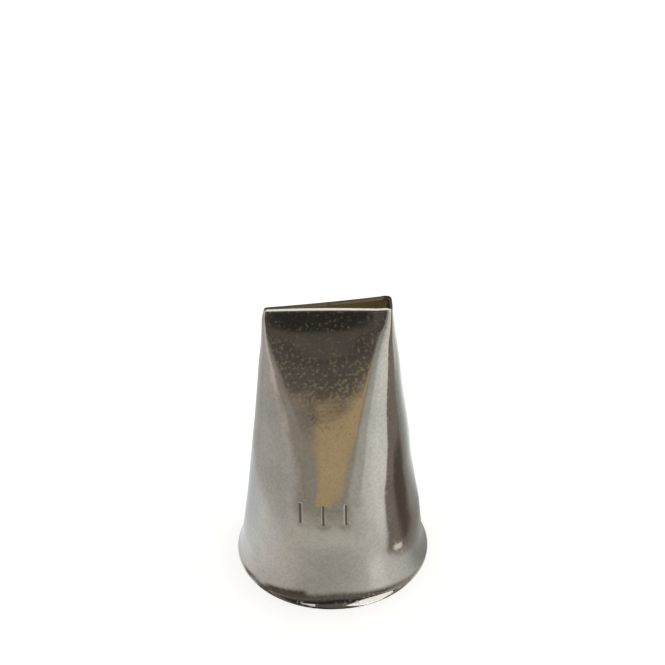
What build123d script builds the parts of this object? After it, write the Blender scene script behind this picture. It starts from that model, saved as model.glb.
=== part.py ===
from build123d import *
import math
import os

# Large petal piping nozzle of thin stainless sheet, standing on its round rim, slit mouth up.
# +X runs towards the wide end of the mouth, -Y is the stamped front, and the origin is the
# middle of the rim, on the surface that it stands on. Millimetres.

# Height and wall
nozzle_height = 50.0
wall = 0.45

# Rim, the widest place
rim_radius = 15.0
rim_spread = 0.2

# Flare above the rim, an arc that ends in the cone
flare_height = 4.5
flare_edge_angle = 33.0
cone_angle_at_flare = 5.3
flare_spread = 0.75

# Cone, up to the height where the press starts to flatten it
press_height = 19.7
press_radius = 11.8
press_spread = 0.5

# Mouth, a slit that is narrow at the left and wide at the right
mouth_left_x = -9.7
mouth_right_x = 7.8
narrow_end_radius = 0.7
wide_end_radius = 1.75

# Seam weld down the middle of the back, a little proud inside
seam_width = 0.8
seam_proud = 0.1

# Three plain strokes pressed into the front, under the flat
stroke_height = 3.8
stroke_width = 0.35
stroke_depth = 0.12
stroke_pitch = 3.5
stroke_middle_height = 17.4
stroke_middle_x = -2.1

# Past the solids, so that each cut goes right through
overrun = 2.0

flare_steps = 6


def outline(height, left_x, left_radius, right_x, right_radius):
    """The face inside two round ends and the two straight sides that touch them."""
    tilt = math.asin((right_radius - left_radius) / (right_x - left_x))
    lean, out = -math.sin(tilt), math.cos(tilt)
    left_front = (left_x + left_radius * lean, -left_radius * out)
    left_back = (left_x + left_radius * lean, left_radius * out)
    right_front = (right_x + right_radius * lean, -right_radius * out)
    right_back = (right_x + right_radius * lean, right_radius * out)
    front = Line(left_front, right_front)
    right_end = ThreePointArc(right_front, (right_x + right_radius, 0), right_back)
    back = Line(right_back, left_back)
    left_end = ThreePointArc(left_back, (left_x - left_radius, 0), left_front)
    loop = Wire([front, right_end, back, left_end])
    return Plane.XY.offset(height) * Face(loop)


def round_outline(height, radius, spread, inset):
    """A nearly round section: the radius front to back, and the spread more to each side."""
    return outline(height, -spread, radius - inset, spread, radius - inset)


def flare_outline(share, inset):
    """The section at a share of the flare's height. The wall's slope follows a round arc."""
    edge = math.sin(math.radians(flare_edge_angle))
    top = math.sin(math.radians(cone_angle_at_flare))
    arc_radius = flare_height / (edge - top)
    here = edge + (top - edge) * share
    run = arc_radius * (math.cos(math.asin(here)) - math.cos(math.asin(edge)))
    radius = rim_radius - rim_spread - run
    spread = rim_spread + (flare_spread - rim_spread) * share
    return round_outline(flare_height * share, radius, spread, inset)


def nozzle_form(inset):
    """The solid inside the nozzle's surface, drawn in by the inset, from rim to mouth."""
    steps = [flare_outline(step / flare_steps, inset) for step in range(flare_steps + 1)]
    press = round_outline(press_height, press_radius, press_spread, inset)
    mouth = outline(
        nozzle_height,
        mouth_left_x,
        narrow_end_radius - inset,
        mouth_right_x,
        wide_end_radius - inset,
    )
    flare = loft(steps)
    cone = loft([steps[-1], press], ruled=True)
    pressed = loft([press, mouth], ruled=True)
    return flare + cone + pressed


def seam_slab():
    """The upright slab at the back whose width is the weld's."""
    depth = rim_radius + overrun
    height = nozzle_height + 2 * overrun
    slab = Box(seam_width, depth, height, align=(Align.CENTER, Align.MIN, Align.MIN))
    return Pos(0, 0, -overrun) * slab


def front_depth(height):
    """How far the front of the cone stands from the axis at a height under the flat."""
    low = flare_outline(1, 0).bounding_box().max.Y
    share = (height - flare_height) / (press_height - flare_height)
    return low + (press_radius - low) * share


def strokes():
    """Three upright strokes that reach the stroke's depth into the front."""
    cuts = []
    low_y = front_depth(stroke_middle_height - stroke_height / 2)
    high_y = front_depth(stroke_middle_height + stroke_height / 2)
    lean = math.degrees(math.atan2(low_y - high_y, stroke_height))
    for place in (-1, 0, 1):
        x = stroke_middle_x + place * stroke_pitch
        turn = math.degrees(math.asin(x / front_depth(stroke_middle_height)))
        reach = front_depth(stroke_middle_height) - stroke_depth
        bar = Box(
            stroke_width,
            overrun,
            stroke_height,
            align=(Align.CENTER, Align.MAX, Align.CENTER),
        )
        placed = Pos(0, -reach, stroke_middle_height) * Rot(-lean, 0, 0) * bar
        cuts.append(Rot(0, 0, turn) * placed)
    return cuts


outer = nozzle_form(0)
sheet = outer - nozzle_form(wall)
nozzle_shell = sheet - seam_slab()
for stroke in strokes():
    nozzle_shell = nozzle_shell - stroke
seam_weld = (outer - nozzle_form(wall + seam_proud)) & seam_slab()

os.makedirs("parts", exist_ok=True)
for name, solid in (("nozzle_shell", nozzle_shell), ("seam_weld", seam_weld)):
    solid.label = name
    export_step(solid, f"parts/{name}.step")
    print(name, "volume", round(solid.volume, 2), "solids", len(solid.solids()))
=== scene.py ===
import math

import bmesh
import bpy
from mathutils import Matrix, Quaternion, Vector


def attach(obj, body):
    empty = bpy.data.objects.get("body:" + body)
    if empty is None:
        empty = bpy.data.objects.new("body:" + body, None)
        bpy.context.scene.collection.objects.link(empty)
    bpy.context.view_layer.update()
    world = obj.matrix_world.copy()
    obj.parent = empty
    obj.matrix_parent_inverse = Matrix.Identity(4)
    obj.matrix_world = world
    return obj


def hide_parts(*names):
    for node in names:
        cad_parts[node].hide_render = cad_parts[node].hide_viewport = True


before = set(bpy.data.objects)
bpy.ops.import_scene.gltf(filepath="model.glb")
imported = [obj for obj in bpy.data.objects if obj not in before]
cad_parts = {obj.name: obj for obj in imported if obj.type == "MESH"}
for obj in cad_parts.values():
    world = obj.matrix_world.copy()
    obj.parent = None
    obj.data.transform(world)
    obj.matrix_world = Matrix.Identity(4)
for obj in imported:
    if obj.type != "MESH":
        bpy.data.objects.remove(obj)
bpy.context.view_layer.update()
print("frame loaded:", ", ".join(sorted(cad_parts)))

mm = 0.001
stage = bpy.context.scene.collection


def linearColour(hexText, alpha=1.0):
    # sRGB hex, such as "B4AFA6", to the linear values that Blender's sockets take
    parts = [int(hexText[i:i + 2], 16) / 255 for i in (0, 2, 4)]
    return [p / 12.92 if p <= 0.04045 else ((p + 0.055) / 1.055) ** 2.4 for p in parts] + [alpha]


def addNode(tree, kind, settings=None, inputs=None):
    # settings are the node's own properties, with the stops of a colour ramp as (place, hex) pairs,
    # and inputs are values, sockets, or nodes whose first live output is linked
    node = tree.nodes.new(kind)
    for name, value in (settings or {}).items():
        if name != "stops":
            setattr(node, name, value)
            continue
        elements = node.color_ramp.elements
        while len(elements) < len(value):
            elements.new(0.5)
        for element, (place, hexText) in zip(elements, value):
            element.position = place
            element.color = linearColour(hexText)
    for name, value in (inputs or {}).items():
        if isinstance(value, bpy.types.Node):
            value = next(socket for socket in value.outputs if socket.enabled)
        if isinstance(value, bpy.types.NodeSocket):
            tree.links.new(value, node.inputs[name])
        else:
            node.inputs[name].default_value = value
    return node


def newMaterial(name):
    material = bpy.data.materials.new(name)
    material.use_nodes = True
    material.node_tree.nodes.clear()
    return material, material.node_tree


def objectFrom(bm, name, material):
    mesh = bpy.data.meshes.new(name)
    bm.to_mesh(mesh)
    bm.free()
    mesh.materials.append(material)
    made = bpy.data.objects.new(name, mesh)
    stage.objects.link(made)
    return made


def smooth(low, high, value):
    # 0 up to low, 1 from high on, and a soft rise between
    share = min(max((value - low) / (high - low), 0.0), 1.0)
    return share * share * (3 - 2 * share)


# Camera: long lens, looking down on the stamped front
view = {
    "middle": (0, 0, 25 * mm),     # of the nozzle
    "distance": 900 * mm,          # from that point
    "lookDown": 42.3,              # degrees above the horizon
    "turn": 3.4,                   # degrees round the upright axis
    "roll": 0.72,                  # degrees
    "lens": 313.6,                 # mm, on the sensor's width
    "sensor": 36,
    "rightOfMiddle": 0.213 * mm,   # the picture's centre, seen from the nozzle's middle
    "aboveMiddle": 14.735 * mm,
}


def makeCamera():
    data = bpy.data.cameras.new("camera")
    data.lens = view["lens"]
    data.sensor_width = view["sensor"]
    data.clip_end = 20
    camera = bpy.data.objects.new("camera", data)
    stage.objects.link(camera)
    down, turn = math.radians(view["lookDown"]), math.radians(view["turn"])
    roll = Quaternion((0, 0, 1), -math.radians(view["roll"]))
    middle = Vector(view["middle"])
    away = Vector((-math.sin(turn) * math.cos(down), -math.cos(turn) * math.cos(down), math.sin(down)))
    camera.location = middle + away * view["distance"]
    camera.rotation_mode = "QUATERNION"
    level = (-away).to_track_quat("-Z", "Y") @ roll
    aim = middle + level @ Vector((view["rightOfMiddle"], view["aboveMiddle"], 0))
    camera.rotation_quaternion = (aim - camera.location).to_track_quat("-Z", "Y") @ roll
    bpy.context.scene.camera = camera


makeCamera()
print("camera placed")

# The sheet: a flat blank that is rolled round, flared at the rim and pressed flat at the mouth, in mm.
# Each level section has a round end at the left and one at the right, and flats between them.
sheet = {
    "height": 49.99,
    "wall": 0.45,
    "rimRadius": 14.99,
    "rimSpread": 0.2,              # half the distance between the middles of the two round ends
    "rimRounding": 0.32,
    "flareHeight": 4.5,
    "flareEdgeAngle": 33.0,        # degrees from upright, at the rim
    "coneAngleAtFlare": 5.3,       # degrees from upright, at the top of the flare
    "flareSpread": 0.75,
    "pressHeight": 19.7,           # where the cone ends and the flats begin
    "pressRadius": 11.8,
    "pressSpread": 0.5,
    "pressBlend": 1.6,             # half the height over which the cone bends into the flats
    "mouthLeftX": -9.725,          # middle of the round end
    "mouthRightX": 7.9,
    "narrowEndRadius": 0.575,
    "wideEndRadius": 1.77,
    "mouthShift": (0.015, 0.1),    # how far back the mouth's two ends sit
    "swell": 0.14,                 # how far the flats bulge halfway up
    "swellReach": 4.0,             # this far in front of or behind the middle the swell is full
    "lipLean": 1.6,                # degrees by which the top few millimetres lean in more
    "lipLeanFrom": 46.9,           # height
    "lipRounding": 0.07,
    "backLipDrop": 0.35,           # how much lower the back lip's inner edge is
    "backLipFrom": 48.4,           # height
    "frontLipExtra": 0.08,         # how much thicker the front lip is
    "frontLipRise": (46.0, 49.5),  # heights between which it gets thicker
    "gap": 0.8,                    # left open at the back for the weld
    "gapSide": 0.15,               # flat sheet beside the gap, at least
    # where each side is fuller or leaner than a straight line: middle height, half height, amount
    "leftSwells": [(2.6, 2.4, 0.1), (22.0, 14.0, 0.2), (27.0, 7.0, -0.06), (43.5, 6.0, -0.12),
                   (50.0, 2.0, -0.2)],
    "rightSwells": [(9.0, 4.3, 0.12), (14.0, 13.0, 0.11), (25.5, 8.0, 0.2), (40.5, 6.0, 0.06),
                    (46.0, 9.0, -0.12)],
    # by the share of the way from the press line to the mouth: degrees by which the flats curve out
    # towards their sides, and how much squarer than round the left and the right corners are
    "crowns": [(0, 0), (0.1, 4.5), (0.33, 4.5), (0.5, 2.7), (0.64, 1.5), (0.8, 0.4), (1, -1.9)],
    "leftSquare": [(0, 0), (0.22, -0.2), (0.35, -0.05), (0.48, 0), (0.6, 0.33), (0.7, 0.6),
                   (0.8, 1.5), (0.88, 1.9), (1, 1.1)],
    "rightSquare": [(0, 0), (0.65, 0), (0.8, 0.3), (0.88, 1.0), (1, 2.6)],
}

# Plain upright strokes that a die has stamped into the front, low on the nozzle, in mm
stamp = {
    "strokes": 3,
    "height": 3.8,
    "width": 0.45,
    "depth": 0.14,
    "pitch": 3.5,                  # from stroke to stroke
    "middleX": -2.1,
    "middleHeight": 17.4,
    "hollow": 0.035,               # depth of the shallow dip round each stroke
    "hollowReach": 1.5,            # how far the dip goes out from it
}


def bent(height, low, slopeBelow, slopeAbove):
    # a value that runs on one slope up to the press height and on another above it, with a soft bend
    half, rise = sheet["pressBlend"], height - sheet["pressHeight"]
    if rise <= -half:
        return low + slopeBelow * rise
    if rise >= half:
        return low + slopeAbove * rise
    return low + slopeBelow * rise + (slopeAbove - slopeBelow) * (rise + half) ** 2 / (4 * half)


def eased(stops, value):
    # a smooth curve through the stops, which are (place, value) pairs
    if value <= stops[0][0]:
        return stops[0][1]
    if value >= stops[-1][0]:
        return stops[-1][1]
    here = max(i for i, stop in enumerate(stops) if stop[0] <= value)
    slopes = []
    for i in (here, here + 1):
        before, after = stops[max(i - 1, 0)], stops[min(i + 1, len(stops) - 1)]
        slopes.append((after[1] - before[1]) / (after[0] - before[0]))
    (low, start), (high, end) = stops[here], stops[here + 1]
    span = high - low
    t = (value - low) / span
    return (start * (1 + 2 * t) * (1 - t) ** 2 + end * (3 - 2 * t) * t * t
            + span * t * (1 - t) * (slopes[0] * (1 - t) - slopes[1] * t))


def fuller(height, swells):
    return sum(amount * math.cos(math.pi / 2 * (height - middle) / half) ** 2
               for middle, half, amount in swells if abs(height - middle) < half)


def flareAt(height):
    # radius and spread on the flare, a round arc that ends on the cone's slope
    edge = math.sin(math.radians(sheet["flareEdgeAngle"]))
    top = math.sin(math.radians(sheet["coneAngleAtFlare"]))
    share = min(height / sheet["flareHeight"], 1)
    arcRadius = sheet["flareHeight"] / (edge - top)
    here = edge + (top - edge) * share
    run = arcRadius * (math.cos(math.asin(here)) - math.cos(math.asin(edge)))
    radius = sheet["rimRadius"] - sheet["rimSpread"] - run
    return radius, sheet["rimSpread"] + (sheet["flareSpread"] - sheet["rimSpread"]) * share


def endsAt(height, inset):
    # the two round ends of the section at a height: left x and radius, right x and radius
    if height <= sheet["flareHeight"]:
        radius, spread = flareAt(height)
        leftX = -spread - fuller(height, sheet["leftSwells"])
        rightX = spread + fuller(height, sheet["rightSwells"])
        return leftX, radius - inset, rightX, radius - inset
    flareRadius, flareSpread = flareAt(sheet["flareHeight"])
    cone = sheet["pressHeight"] - sheet["flareHeight"]
    press = sheet["height"] - sheet["pressHeight"]
    radiusSlope = (sheet["pressRadius"] - flareRadius) / cone
    spreadSlope = (sheet["pressSpread"] - flareSpread) / cone
    leftOut = (sheet["mouthLeftX"] + sheet["pressSpread"]) / press
    rightOut = (sheet["mouthRightX"] - sheet["pressSpread"]) / press
    leftIn = (sheet["narrowEndRadius"] - sheet["pressRadius"]) / press
    rightIn = (sheet["wideEndRadius"] - sheet["pressRadius"]) / press
    leftX = bent(height, -sheet["pressSpread"], -spreadSlope, leftOut)
    rightX = bent(height, sheet["pressSpread"], spreadSlope, rightOut)
    leftX -= fuller(height, sheet["leftSwells"])
    rightX += fuller(height, sheet["rightSwells"])
    leftR = bent(height, sheet["pressRadius"], radiusSlope, leftIn)
    rightR = bent(height, sheet["pressRadius"], radiusSlope, rightIn)
    return leftX, leftR - inset, rightX, rightR - inset


def pressShare(height):
    # share of the way from the press line to the mouth, below 0 on the cone
    return (height - sheet["pressHeight"]) / (sheet["height"] - sheet["pressHeight"])


def onEnd(x, radius, turn, square):
    # a point of a round end by the direction that it faces, where the end may be squarer than round
    power = 2 + square
    root = 1 / (power - 1)
    across, forward = abs(math.sin(turn)) ** root, abs(math.cos(turn)) ** root
    reach = radius / (across ** power + forward ** power) ** (1 / power)
    sideways = math.copysign(reach * across, turn)
    return Vector((x + sideways, -math.copysign(reach * forward, math.cos(turn))))


def spaced(start, stop, count):
    return [start + (stop - start) * i / count for i in range(count)]


# Where the blank's columns lie: which part of the section, and how far along it, closer at tight bends
columns = (
    [("backRight", s) for s in spaced(0, 1, 14)]
    + [("rightEnd", s) for s in spaced(0, 0.93, 62)]
    + [("rightEnd", s) for s in spaced(0.93, 1, 26)]
    + [("front", s) for s in spaced(0, 1, 28)]
    + [("leftEnd", s) for s in spaced(0, 0.18, 70)]
    + [("leftEnd", s) for s in spaced(0.18, 1, 56)]
    + [("backLeft", s) for s in spaced(0, 1, 14)]
    + [("backLeft", 1.0)]
)
# Heights of its rows, closer at the flare, the strokes and the lips
rows = (
    [0]
    + spaced(0.42, 4.5, 20)
    + spaced(4.5, 14.8, 12)
    + spaced(14.8, 20.0, 36)
    + spaced(20.0, 48.2, 46)
    + [48.2, 48.6, 49.0, 49.35, 49.6, 49.8, sheet["height"]]
)


def sectionPoint(part, share, height, inset):
    # a point of the level section, on the outer skin or inset from it
    leftX, leftR, rightX, rightR = endsAt(height, inset)
    up = max(pressShare(height), 0)
    tilt = math.asin((rightR - leftR) / (rightX - leftX))
    crown = math.radians(eased(sheet["crowns"], up))
    squareLeft, squareRight = eased(sheet["leftSquare"], up), eased(sheet["rightSquare"], up)
    frontRight, frontLeft = -tilt + crown, -tilt - crown
    gap = sheet["gap"] / 2
    backTurn = max(0.0, math.asin(max(0.0, gap + sheet["gapSide"] - rightX) / rightR))
    backRight, backLeft = math.pi + tilt - backTurn - crown, -math.pi + tilt + backTurn + crown
    if part == "rightEnd":
        turn = backRight + (frontRight - backRight) * share
        point = onEnd(rightX, rightR, turn, squareRight)
    elif part == "leftEnd":
        turn = frontLeft + (backLeft - frontLeft) * share
        squareHere = squareLeft * (1 - smooth(1.2, 1.9, abs(turn)))  # its back half stays round
        point = onEnd(leftX, leftR, turn, squareHere)
    else:
        front = part == "front"
        turns = (frontRight, frontLeft) if front else (backRight, backLeft)
        start = onEnd(rightX, rightR, turns[0], squareRight)
        end = onEnd(leftX, leftR, turns[1], squareLeft if front else 0)
        place = share
        if not front:
            rightEdge, leftEdge = ((start.x - side * gap) / (start.x - end.x) for side in (1, -1))
            place = rightEdge * (1 - share) if part == "backRight" else 1 - (1 - leftEdge) * share
        outward = Vector((math.sin(-tilt), -math.cos(tilt) if front else math.cos(tilt)))
        bulge = (end - start).length * math.tan(crown)
        point = start.lerp(end, place) + outward * bulge * place * (1 - place)
    leftShift, rightShift = sheet["mouthShift"]
    across = (point.x - sheet["mouthLeftX"]) / (sheet["mouthRightX"] - sheet["mouthLeftX"])
    point.y += (leftShift + (rightShift - leftShift) * across) * up ** 3
    return point


def flatsMove(height, y):
    # how far the flats stand out from straight: a swell halfway up, and a lean at the lips
    share = pressShare(height)
    if share <= 0:
        return 0.0
    swell = sheet["swell"] * 4 * share * (1 - share) * min(abs(y) / sheet["swellReach"], 1)
    start = sheet["lipLeanFrom"]
    lean = math.tan(math.radians(sheet["lipLean"])) * max(height - start, 0)
    lean *= smooth(start - 0.5, start + 0.5, height)
    return (swell - lean) * math.copysign(1, y)


def stampedAt(x, height):
    # how deep the front is pressed in at a point, by the strokes and by the hollow round them
    stroke = hollow = 0.0
    for place in range(stamp["strokes"]):
        middle = stamp["middleX"] + (place - (stamp["strokes"] - 1) / 2) * stamp["pitch"]
        half = stamp["width"] / 2
        straight = stamp["height"] / 2 - half
        off = math.hypot(x - middle, max(abs(height - stamp["middleHeight"]) - straight, 0))
        # a round bottom, and soft sides that run out a quarter beyond the width
        stroke = max(stroke, stamp["depth"] * max(0.0, 1 - (off / half) ** 2 / 1.6) ** 1.2)
        hollow = max(hollow, stamp["hollow"] * (1 - smooth(0, stamp["hollowReach"], off)))
    return stroke, hollow


def shadedLipShare(part, share):
    # how much of the lip takes the inner side's colour and roughness, which there is painted shade: all
    # of it at the back, none at the front
    if part == "rightEnd":
        return 1 - smooth(0.55, 0.8, share)
    if part == "leftEnd":
        return smooth(0.3, 0.6, share)
    return 0.0 if part == "front" else 1.0


def skinHeight(part, share, height, inset):
    # the mouth's inner edge is cut lower at the back and the right, and not at the front
    if inset == 0 or part == "front":
        return height
    drop = sheet["backLipDrop"]
    if part == "rightEnd":
        drop *= 1 - smooth(0.6, 0.95, share)
    elif part == "leftEnd":
        drop *= smooth(0.05, 0.5, share)
    return height - drop * smooth(sheet["backLipFrom"], sheet["height"], height)


def rollSkin(bm, inset, pressed, inner):
    # one skin of the sheet: a flat grid whose columns go round and whose rows go up
    made = bmesh.ops.create_grid(bm, x_segments=len(columns) - 1, y_segments=len(rows) - 1, size=0.5)
    for vert in made["verts"]:
        row = round((vert.co.y + 0.5) * (len(rows) - 1))
        part, share = columns[round((vert.co.x + 0.5) * (len(columns) - 1))]
        height = rows[row]
        point = sectionPoint(part, share, height, inset)
        point.y += flatsMove(height, point.y)
        if part == "front" and inset:
            thicker = sheet["frontLipExtra"] * smooth(*sheet["frontLipRise"], height)
            point.y += thicker * math.sin(math.pi * share)
        if point.y < 0:
            stroke, hollow = stampedAt(point.x, height)
            point.y += stroke + hollow
            # this share also sets the stroke's dirt and painted shade in the material
            vert[pressed] = stroke / stamp["depth"]
        vert[inner] = shadedLipShare(part, share) if row == len(rows) - 1 else float(inset > 0)
        if part == "rightEnd" and row >= len(rows) - 2:  # the lip at the wide end's back takes the strokes' dark colour too, as painted shade
            vert[pressed] = 1 - smooth(0.6, 0.9, share)
        vert.co = (point.x * mm, point.y * mm, skinHeight(part, share, height, inset) * mm)


def roundEdges(bm, edges, size, steps):
    bmesh.ops.bevel(bm, geom=edges, offset=size * mm, offset_type="OFFSET", segments=steps,
                    profile=0.5, affect="EDGES", material=-1, clamp_overlap=True)


def sharpEdges(bm, low, high):
    # edges that lie in a band of heights, in mm, and turn by more than 40 degrees
    return [e for e in bm.edges if e.is_manifold and e.calc_face_angle() > math.radians(40)
            and all(low * mm < v.co.z < high * mm for v in e.verts)]


def closeSkins(bm):
    bmesh.ops.bridge_loops(bm, edges=[e for e in bm.edges if e.is_boundary])
    bmesh.ops.recalc_face_normals(bm, faces=bm.faces)


def smoothed(bm, name, material):
    # smooth shading, with the edges that turn by more than 52 degrees kept sharp
    for face in bm.faces:
        face.smooth = True
    for edge in bm.edges:
        edge.smooth = not (edge.is_manifold and edge.calc_face_angle() > math.radians(52))
    return objectFrom(bm, name, material)


def makeSheet(material):
    bm = bmesh.new()
    # per point: the share of the strokes' dark colour (their dirt and painted shade, and painted shade
    # on the wide end's lip), and of the inner side's colour, painted shade on the back lips
    pressed, inner = (bm.verts.layers.float.new(name) for name in ("pressed", "inner"))
    rollSkin(bm, 0, pressed, inner)
    rollSkin(bm, sheet["wall"], pressed, inner)
    closeSkins(bm)
    # only the rim's outer edge is rounded
    outside = (sheet["rimRadius"] - sheet["wall"] * 0.75) * mm
    rim = [e for e in sharpEdges(bm, -0.01, 0.01) if max(v.co.xy.length for v in e.verts) > outside]
    roundEdges(bm, rim, sheet["rimRounding"], 4)
    roundEdges(bm, sharpEdges(bm, 49.5, 50.1), sheet["lipRounding"], 3)
    return smoothed(bm, "nozzleSheet", material)


# Stainless sheet, pressed and then tumbled: a soft mirror with a fine grain, grey with a warm cast
steel = {
    "light": "B2AEA8",             # the steel's colour varies in clouds between these two
    "dark": "A8A49D",
    "worn": "D6D2CA",              # the lips and the rim's edge, polished by handling
    "lipWear": (49.6, 49.95),      # mm, heights at which the wear begins and is full
    "rimWear": (0.25, 0.05),
    "stroke": "6A655E",            # dirt and polish that stay in the stamped strokes, and the strokes' painted shade
    "inner": "ADA38C",             # the inner side, browner than the outside; on the lips at the back and at the ends it is painted shade
    "roughness": (0.045, 0.065),   # it varies with the clouds too
    "strokeRoughness": 0.45,
    "innerRoughness": 0.3,         # the inner side is as it came from the rolls
    "cloudSize": 7.0,              # mm
    "grainSize": 0.5,              # mm, marks of the tumbling media, drawn a little coarser than real
    "grainDepth": 0.0007,          # mm
    "grainTone": 0.065,            # share by which the grain darkens and lightens the steel
    "pitRoughness": 0.21,          # in the tiny pits, which scatter the light
    "waveSize": 6.0,               # mm, the slight unevenness that the press leaves
    "waveDepth": 0.02,             # mm
    "dentSpacing": 6.0,            # mm, between the few small dents
    "dentSize": 0.035,             # share of the spacing
    "dentDepth": 0.02,             # mm
}


def makeSteel():
    material, tree = newMaterial("tumbledStainless")
    place = addNode(tree, "ShaderNodeTexCoord").outputs["Object"]
    height = addNode(tree, "ShaderNodeSeparateXYZ", None, {0: place}).outputs["Z"]
    pressed = addNode(tree, "ShaderNodeAttribute", {"attribute_name": "pressed"}).outputs["Fac"]
    cloud = addNode(tree, "ShaderNodeTexNoise", None, {
        "Vector": place, "Scale": 1 / (steel["cloudSize"] * mm), "Detail": 3.0})
    grain = addNode(tree, "ShaderNodeTexNoise", None, {
        "Vector": place, "Scale": 1 / (steel["grainSize"] * mm), "Detail": 1.0, "Roughness": 0.4})
    wave = addNode(tree, "ShaderNodeTexNoise", None, {
        "Vector": place, "Scale": 1 / (steel["waveSize"] * mm), "Detail": 1.0})
    dents = addNode(tree, "ShaderNodeTexVoronoi", None, {
        "Vector": place, "Scale": 1 / (steel["dentSpacing"] * mm)}).outputs["Distance"]

    mottle = addNode(tree, "ShaderNodeMapRange", None, {
        "Value": cloud, "From Min": 0.35, "From Max": 0.65})
    body = addNode(tree, "ShaderNodeMix", {"data_type": "RGBA"}, {
        0: mottle, 6: linearColour(steel["dark"]), 7: linearColour(steel["light"])})
    lip = addNode(tree, "ShaderNodeMapRange", None, {
        "Value": height, "From Min": steel["lipWear"][0] * mm, "From Max": steel["lipWear"][1] * mm})
    foot = addNode(tree, "ShaderNodeMapRange", None, {
        "Value": height, "From Min": steel["rimWear"][0] * mm, "From Max": steel["rimWear"][1] * mm})
    edges = addNode(tree, "ShaderNodeMath", {"operation": "MAXIMUM"}, {0: lip, 1: foot})
    wornBody = addNode(tree, "ShaderNodeMix", {"data_type": "RGBA"}, {
        0: edges, 6: body, 7: linearColour(steel["worn"])})
    # the inner side's colour, which on the lips at the back and the ends is painted shade
    inner = addNode(tree, "ShaderNodeAttribute", {"attribute_name": "inner"}).outputs["Fac"]
    twoSided = addNode(tree, "ShaderNodeMix", {"data_type": "RGBA"}, {
        0: inner, 6: wornBody, 7: linearColour(steel["inner"])})
    tone = addNode(tree, "ShaderNodeMapRange", None, {
        "Value": grain, "From Min": 0.35, "From Max": 0.65,
        "To Min": 1 - steel["grainTone"], "To Max": 1 + steel["grainTone"]})
    grained = addNode(tree, "ShaderNodeVectorMath", {"operation": "SCALE"}, {0: twoSided, "Scale": tone})
    # the strokes' dark colour: their dirt and their painted shade
    strokeDirtAndShade = addNode(tree, "ShaderNodeMapRange", {"interpolation_type": "SMOOTHSTEP"}, {
        "Value": pressed, "From Min": 0.2, "From Max": 0.8})
    colour = addNode(tree, "ShaderNodeMix", {"data_type": "RGBA"}, {
        0: strokeDirtAndShade, 6: grained, 7: linearColour(steel["stroke"])})

    polish = addNode(tree, "ShaderNodeMapRange", None, {
        "Value": cloud, "From Min": 0.3, "From Max": 0.7,
        "To Min": steel["roughness"][0], "To Max": steel["roughness"][1]})
    pits = addNode(tree, "ShaderNodeMapRange", {"interpolation_type": "SMOOTHSTEP"}, {
        "Value": grain, "From Min": 0.5, "From Max": 0.76})
    pitted = addNode(tree, "ShaderNodeMix", {"data_type": "FLOAT"}, {
        0: pits, 2: polish, 3: steel["pitRoughness"]})
    bothSides = addNode(tree, "ShaderNodeMix", {"data_type": "FLOAT"}, {
        0: inner, 2: pitted, 3: steel["innerRoughness"]})
    roughness = addNode(tree, "ShaderNodeMix", {"data_type": "FLOAT"}, {
        0: strokeDirtAndShade, 2: bothSides, 3: steel["strokeRoughness"]})

    waves = addNode(tree, "ShaderNodeBump", None, {"Height": wave, "Distance": steel["waveDepth"] * mm})
    dentShape = addNode(tree, "ShaderNodeMapRange", {"interpolation_type": "SMOOTHSTEP"}, {
        "Value": dents, "From Min": 0.0, "From Max": steel["dentSize"]})
    dented = addNode(tree, "ShaderNodeBump", None, {
        "Height": dentShape, "Distance": steel["dentDepth"] * mm, "Normal": waves})
    normal = addNode(tree, "ShaderNodeBump", None, {
        "Height": grain, "Distance": steel["grainDepth"] * mm, "Normal": dented})
    shader = addNode(tree, "ShaderNodeBsdfPrincipled", None, {
        "Base Color": colour, "Metallic": 1.0, "Roughness": roughness, "Normal": normal})
    addNode(tree, "ShaderNodeOutputMaterial", None, {"Surface": shader})
    return material


nozzleSheet = makeSheet(makeSteel())
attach(nozzleSheet, "root")
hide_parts("nozzle_shell")
print("sheet rolled:", len(nozzleSheet.data.polygons), "faces")

# Butt weld up the back, ground down to the sheet: duller than it, with fine marks across
weld = {
    "proudInside": 0.08,           # mm, left standing inside
    "across": 8,                   # faces from edge to edge
    "colour": "ABA69E",
    "tint": "A0988A",              # heat leaves a faint straw tint, in clouds
    "cloudSize": 2.5,              # mm
    "roughness": (0.2, 0.34),
    "markSize": 0.35,              # mm, grinding marks, drawn coarser than real so that they show
    "markStretch": 0.3,            # drawn out sideways by the inverse of this
    "markDepth": 0.02,             # mm
}


def makeWeld(material):
    bm = bmesh.new()
    inner = bm.verts.layers.float.new("inner")
    for skin in (0, 1):
        made = bmesh.ops.create_grid(bm, x_segments=weld["across"], y_segments=len(rows) - 1, size=0.5)
        for vert in made["verts"]:
            row = round((vert.co.y + 0.5) * (len(rows) - 1))
            share, height, inset = vert.co.x + 0.5, rows[row], sheet["wall"] * skin
            rightEdge = sectionPoint("backRight", 0, height, inset)
            leftEdge = sectionPoint("backLeft", 1, height, inset)
            point = rightEdge.lerp(leftEdge, share)
            # the inner skin, and the top row, whose inner colour is the back lip's painted shade
            vert[inner] = float(skin > 0 or row == len(rows) - 1)
            proud = weld["proudInside"] * skin * math.sin(math.pi * share)
            point.y += flatsMove(height, point.y) - proud
            vert.co = (point.x * mm, point.y * mm, skinHeight("backLeft", 1, height, inset) * mm)
    closeSkins(bm)
    return smoothed(bm, "seamWeld", material)


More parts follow.
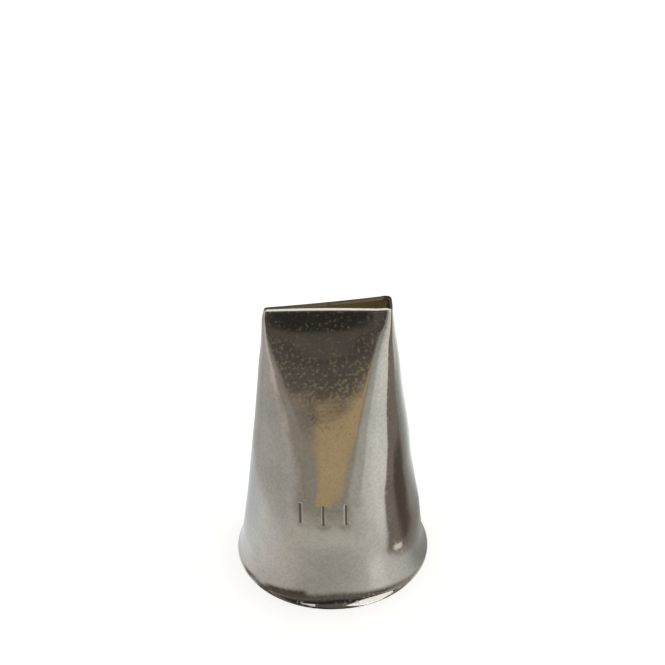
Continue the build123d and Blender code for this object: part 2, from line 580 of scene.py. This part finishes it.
def makeWeldSteel():
    material, tree = newMaterial("groundWeld")
    place = addNode(tree, "ShaderNodeTexCoord").outputs["Object"]
    drawnOut = addNode(tree, "ShaderNodeMapping", None, {
        "Vector": place, "Scale": (weld["markStretch"], 1, 1)})
    marks = addNode(tree, "ShaderNodeTexNoise", None, {
        "Vector": drawnOut, "Scale": 1 / (weld["markSize"] * mm), "Detail": 2.0, "Roughness": 0.6})
    cloud = addNode(tree, "ShaderNodeTexNoise", None, {
        "Vector": place, "Scale": 1 / (weld["cloudSize"] * mm), "Detail": 3.0})
    mottle = addNode(tree, "ShaderNodeMapRange", None, {
        "Value": cloud, "From Min": 0.35, "From Max": 0.7})
    outer = addNode(tree, "ShaderNodeMix", {"data_type": "RGBA"}, {
        0: mottle, 6: linearColour(weld["colour"]), 7: linearColour(weld["tint"])})
    # the inner side's colour, which on the weld's lip is painted shade
    inner = addNode(tree, "ShaderNodeAttribute", {"attribute_name": "inner"}).outputs["Fac"]
    colour = addNode(tree, "ShaderNodeMix", {"data_type": "RGBA"}, {
        0: inner, 6: outer, 7: linearColour(steel["inner"])})
    roughness = addNode(tree, "ShaderNodeMapRange", None, {
        "Value": cloud, "From Min": 0.3, "From Max": 0.7,
        "To Min": weld["roughness"][0], "To Max": weld["roughness"][1]})
    normal = addNode(tree, "ShaderNodeBump", None, {
        "Height": marks, "Distance": weld["markDepth"] * mm})
    shader = addNode(tree, "ShaderNodeBsdfPrincipled", None, {
        "Base Color": colour, "Metallic": 1.0, "Roughness": roughness, "Normal": normal})
    addNode(tree, "ShaderNodeOutputMaterial", None, {"Surface": shader})
    return material


seamWeld = makeWeld(makeWeldSteel())
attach(seamWeld, "root")
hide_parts("seam_weld")
print("weld laid:", len(seamWeld.data.polygons), "faces")

# Floor: plain white to the camera. The steel sees a table that glows for its reflections only, with
# painted light and shade that differ
# round the nozzle: turns are degrees from the camera's side to the right, and distances are mm from the
# nozzle's axis
tableLook = {
    "size": 6.0,                   # m
    "paper": "E6E3DE",
    "lift": 0.5,                   # added for the camera: the floor is white outside the shadow
    "insideRadius": 13.6 * mm,
    "inside": "5A4A30",            # painted shade on the floor under the nozzle, as seen down through the mouth
    "strength": 1.6,
    "round": [
        (-180, "B4B9B8"), (-140, "AFB4B8"), (-113, "B2B6B9"), (-98, "C1C3C5"), (-83, "CED0D0"),
        (-68, "CAC9C9"), (-53, "C1BFBC"), (-38, "B8B5AF"), (-23, "AFADA6"), (0, "ABA9A2"),
        (10, "ADACA5"), (22, "B9B8B2"), (32, "C6C6C0"), (40, "D3D3CE"), (58, "C5C4C1"),
        (70, "B7B8B5"), (97, "9C9F9D"), (112, "8F9391"), (119, "A0A4A2"), (127, "AEB2B0"),
        (135, "C4C8C6"), (150, "D4D8D6"), (180, "B4B9B8"),
    ],
}
# Patches of that table, painted light and shade that the steel mirrors, each its colour and its edges.
# An edge gives what it measures, where the patch begins to show and where it shows in full. Facing is 0
# for a ray that comes straight down and 1 for a level one, and a pair measures mm along a line, by its
# shares to the right and towards the camera.
patches = {
    "left": ("AEADA9", [("turn", -38, -58), ("turn", -179, -150), ("distance", 29, 37)]),
    "leftBack": ("A3A29E", [("turn", -95, -118), ("turn", -179, -145), ("distance", 32, 44)]),
    "front": ("98938A", [("turn", -52, -32), ("turn", 20, 8), ("distance", 35, 41)]),
    "frontBand": ("BFBDB6", [
        ("turn", -50, -25), ("turn", 30, 15), ("distance", 28, 32.5), ("distance", 37, 34)]),
    "right": ("B2B1AB", [("turn", 12, 20), ("turn", 35, 28), ("distance", 38, 50)]),
    "rightFar": ("D0D2CD", [("turn", 28, 36), ("distance", 55, 75)]),
    "rightDim": ("9A9C96", [("turn", 10, 18), ("turn", 33, 26), ("distance", 170, 380)]),
    "frontFar": ("857E76", [("turn", -45, -30), ("turn", 16, 6), ("distance", 150, 400)]),
    "rose": ("C8BDBA", [("turn", -80, -60), ("turn", -30, -42), ("distance", 90, 130)]),
    "gold": ("B5A07D", [
        ("turn", -17, -12), ((1, 0), -36, -19), ((1, -0.183), -2, -14), ("distance", 48, 58)]),
    "windowGlow": ("E0E0DE", [("turn", 38, 52), ("turn", 110, 62), ("distance", 25, 35)]),
    "nearGlow": ("DCDCDA", [("turn", 28, 36), ("turn", 50, 42), ("distance", 26, 21)]),
    "sideShade": ("8A8C89", [((1, 0), 5, 12), ((1, 0), 26, 21), ((0, 1), 8, 2), ((0, 1), -20, -8)]),
    "shade": ("7E776F", [((1, 0), 16.8, 20), ((0.17, -1), -13.2, -9.8), ((0.27, 1), -9.5, 6.5)]),
    "deepShade": ("564F48", [
        ((1, 0), 19, 23), ((1, 0), 62, 45), ((0, 1), 9.5, 4), ((0, 1), -14, -4), ((1, 1), 19, 29)]),
    "glint": ("E0DED6", [
        ((1, 0), 19.1, 20), ((1, 0), 21.9, 20.9), ((0, 1), 6.2, 8), ((0, 1), 12.2, 10.4)]),
    "rimShade": ("514B46", [
        ("turn", -58, -50), ("turn", -18, -25), ("facing", 0.67, 0.79), ("distance", 45, 35)]),
    "rimEdge": ("6A665F", [("turn", -56, -68), ("facing", 0.65, 0.78), ("distance", 45, 35)]),
    "lowNear": ("5B564F", [("facing", 0.76, 0.94), ("distance", 70, 35)]),
    "lowRight": ("9A9893", [("turn", 45, 60), ("facing", 0.8, 0.95), ("distance", 70, 35)]),
    "farLeft": ("66605A", [((1, 0), -14, -36), ("turn", -40, -20), ("distance", 410, 590)]),
    "farRight": ("66605A", [((1, 0), 5, 22), ("turn", 14, 8), ("distance", 540, 680)]),
    "lowFar": ("56534E", [
        ("turn", -62, -46), ("turn", 62, 46), ("facing", 0.944, 0.953), ("distance", 35, 70)]),
}


def makeFloor():
    material, tree = newMaterial("paleFloor")
    path = addNode(tree, "ShaderNodeLightPath")
    seen = addNode(tree, "ShaderNodeMath", {"operation": "MAXIMUM"}, {
        0: path.outputs["Is Camera Ray"], 1: path.outputs["Is Transmission Ray"]})
    diffuse = addNode(tree, "ShaderNodeBsdfDiffuse", None, {"Color": linearColour(tableLook["paper"])})
    white = addNode(tree, "ShaderNodeEmission", None, {
        "Color": (1, 1, 1, 1), "Strength": tableLook["lift"]})
    cameraSees = addNode(tree, "ShaderNodeAddShader", None, {0: diffuse, 1: white})

    place = addNode(tree, "ShaderNodeTexCoord").outputs["Object"]
    turned = addNode(tree, "ShaderNodeMapping", None, {
        "Vector": place, "Rotation": (0, 0, math.radians(view["turn"]))})
    split = addNode(tree, "ShaderNodeSeparateXYZ", None, {0: turned})
    towards = addNode(tree, "ShaderNodeMath", {"operation": "MULTIPLY"}, {
        0: split.outputs["Y"], 1: -1.0})
    angle = addNode(tree, "ShaderNodeMath", {"operation": "ARCTAN2"}, {
        0: split.outputs["X"], 1: towards})
    turn = addNode(tree, "ShaderNodeMath", {"operation": "DEGREES"}, {0: angle})
    distance = addNode(tree, "ShaderNodeVectorMath", {"operation": "LENGTH"}, {0: place})
    facing = addNode(tree, "ShaderNodeLayerWeight", None, {"Blend": 0.5}).outputs["Facing"]
    measures = {"turn": (turn, 1), "distance": (distance, mm), "facing": (facing, 1)}

    around = addNode(tree, "ShaderNodeMapRange", None, {
        "Value": turn, "From Min": -180.0, "From Max": 180.0})
    colour = addNode(tree, "ShaderNodeValToRGB", {
        "stops": [((a + 180) / 360, hexText) for a, hexText in tableLook["round"]]}, {"Fac": around})
    for hexText, edges in patches.values():
        share = 1.0
        for measure, begins, full in edges:
            if measure not in measures:
                along = addNode(tree, "ShaderNodeVectorMath", {"operation": "DOT_PRODUCT"}, {
                    0: turned, 1: (measure[0], -measure[1], 0)})
                measures[measure] = (along, mm)
            value, unit = measures[measure]
            edge = addNode(tree, "ShaderNodeMapRange", {"interpolation_type": "SMOOTHSTEP"}, {
                "Value": value, "From Min": begins * unit, "From Max": full * unit})
            share = addNode(tree, "ShaderNodeMath", {"operation": "MULTIPLY"}, {0: share, 1: edge})
        colour = addNode(tree, "ShaderNodeMix", {"data_type": "RGBA"}, {
            0: share, 6: colour, 7: linearColour(hexText)})

    radius = tableLook["insideRadius"]
    under = addNode(tree, "ShaderNodeMapRange", {"interpolation_type": "SMOOTHSTEP"}, {
        "Value": distance, "From Min": radius * 0.96, "From Max": radius})
    inside = addNode(tree, "ShaderNodeMix", {"data_type": "RGBA"}, {
        0: under, 6: linearColour(tableLook["inside"]), 7: colour})
    steelSees = addNode(tree, "ShaderNodeEmission", None, {
        "Color": inside, "Strength": tableLook["strength"]})
    mixed = addNode(tree, "ShaderNodeMixShader", None, {
        "Fac": path.outputs["Is Glossy Ray"], 1: diffuse, 2: steelSees})
    final = addNode(tree, "ShaderNodeMixShader", None, {"Fac": seen, 1: mixed, 2: cameraSees})
    addNode(tree, "ShaderNodeOutputMaterial", None, {"Surface": final})
    bm = bmesh.new()
    bmesh.ops.create_grid(bm, x_segments=1, y_segments=1, size=tableLook["size"] / 2)
    objectFrom(bm, "floor", material)


makeFloor()
print("floor laid")

# Cards that only the steel sees, bent round it. Turns are degrees from the camera's side, at the left
# and the right edge. Low gives the low edge at the left and at the right and high the level top, in
# degrees above the horizon. Distance is in m, and the colours run from the low edge to the high one.
plain = [(0.0, "FFFFFF"), (1.0, "FFFFFF")]
cards = {
    "roomWall": {
        "turns": (-80, 100), "low": (-0.5, -0.5), "high": 20, "strength": 1.0, "distance": 1.5,
        "colours": [(0.0, "5E5851"), (0.03, "5E5851"), (0.06, "746E68"), (0.155, "6A645E"),
                    (0.215, "423E39"), (0.45, "423E39"), (0.55, "7C766F"), (1.0, "7C766F")],
    },
    "window": {
        "turns": (10, 66), "low": (16, 0.2), "high": 19, "strength": 2.1, "distance": 1.4,
        "colours": plain,
    },
    "smallLight": {
        "turns": (-41, -18), "low": (9, 9), "high": 17, "strength": 1.5, "distance": 1.4,
        "colours": plain,
    },
    "behind": {
        "turns": (140, 220), "low": (28, 28), "high": 60, "strength": 1.12, "distance": 1.4,
        "colours": plain,
    },
}


def makeCard(name, values):
    material, tree = newMaterial(name + "Card")
    place = addNode(tree, "ShaderNodeUVMap", {"uv_map": "UVMap"})
    share = addNode(tree, "ShaderNodeSeparateXYZ", None, {0: place}).outputs["Y"]
    colour = addNode(tree, "ShaderNodeValToRGB", {"stops": values["colours"]}, {"Fac": share})
    glow = addNode(tree, "ShaderNodeEmission", None, {"Color": colour, "Strength": values["strength"]})
    addNode(tree, "ShaderNodeOutputMaterial", None, {"Surface": glow})
    (left, right), (lowLeft, lowRight), radius = values["turns"], values["low"], values["distance"]
    bm = bmesh.new()
    bm.loops.layers.uv.new("UVMap")
    made = bmesh.ops.create_grid(bm, x_segments=24, y_segments=1, size=0.5, calc_uvs=True)
    for vert in made["verts"]:
        across = vert.co.x + 0.5
        turn = math.radians(left + (right - left) * across - view["turn"])
        low = lowRight + (lowLeft - lowRight) * (1 - across) ** 2.5  # a hollow slope to the right
        edge = math.radians(low if vert.co.y < 0 else values["high"])
        height = radius * math.tan(edge) + view["middle"][2]
        vert.co = (radius * math.sin(turn), -radius * math.cos(turn), height)
    card = objectFrom(bm, name, material)
    card.visible_camera = card.visible_diffuse = card.visible_shadow = False
    card.visible_transmission = card.visible_volume_scatter = False


for cardName, values in cards.items():
    makeCard(cardName, values)
print("cards set up")

# World: white behind the object; the steel sees a grey room
room = {
    # by the sine of the height above the horizon
    "heights": [(0.0, "8C8A86"), (0.5, "98948E"), (0.84, "504C46")],
    "strength": 2.0,
    "soft": 0.55,                  # strength of the even white light on all that isn't a mirror
}


def makeWorld():
    world = bpy.data.worlds.new("studio")
    bpy.context.scene.world = world
    world.use_nodes = True
    tree = world.node_tree
    tree.nodes.clear()
    path = addNode(tree, "ShaderNodeLightPath")
    direction = addNode(tree, "ShaderNodeTexCoord").outputs["Generated"]
    up = addNode(tree, "ShaderNodeSeparateXYZ", None, {0: direction}).outputs["Z"]
    heights = addNode(tree, "ShaderNodeValToRGB", {"stops": room["heights"]}, {"Fac": up})
    glossy = addNode(tree, "ShaderNodeBackground", None, {
        "Color": heights, "Strength": room["strength"]})
    soft = addNode(tree, "ShaderNodeBackground", None, {
        "Color": (1, 1, 1, 1), "Strength": room["soft"]})
    white = addNode(tree, "ShaderNodeBackground", None, {"Color": (1, 1, 1, 1), "Strength": 1.0})
    lit = addNode(tree, "ShaderNodeMixShader", None, {
        "Fac": path.outputs["Is Glossy Ray"], 1: soft, 2: glossy})
    seen = addNode(tree, "ShaderNodeMath", {"operation": "MAXIMUM"}, {
        0: path.outputs["Is Camera Ray"], 1: path.outputs["Is Transmission Ray"]})
    final = addNode(tree, "ShaderNodeMixShader", None, {"Fac": seen, 1: lit, 2: white})
    addNode(tree, "ShaderNodeOutputWorld", None, {"Surface": final})


# A soft lamp over the nozzle, for the floor and its faint shadow; the steel doesn't mirror it
topLamp = {
    "place": (0.1, 0.2, 1.1),      # m
    "aim": (0, 0, 20 * mm),
    "size": 1.0,                   # m
    "power": 4.0,                  # W
}


def makeLamp(name, values):
    data = bpy.data.lights.new(name, "AREA")
    data.size = values["size"]
    data.energy = values["power"]
    lamp = bpy.data.objects.new(name, data)
    lamp.location = values["place"]
    lamp.rotation_mode = "QUATERNION"
    beam = Vector(values["aim"]) - Vector(values["place"])
    lamp.rotation_quaternion = beam.to_track_quat("-Z", "Y")
    lamp.visible_glossy = False
    stage.objects.link(lamp)


makeWorld()
makeLamp("topLamp", topLamp)
bpy.context.scene.view_settings.view_transform = "Standard"
print("lights on")
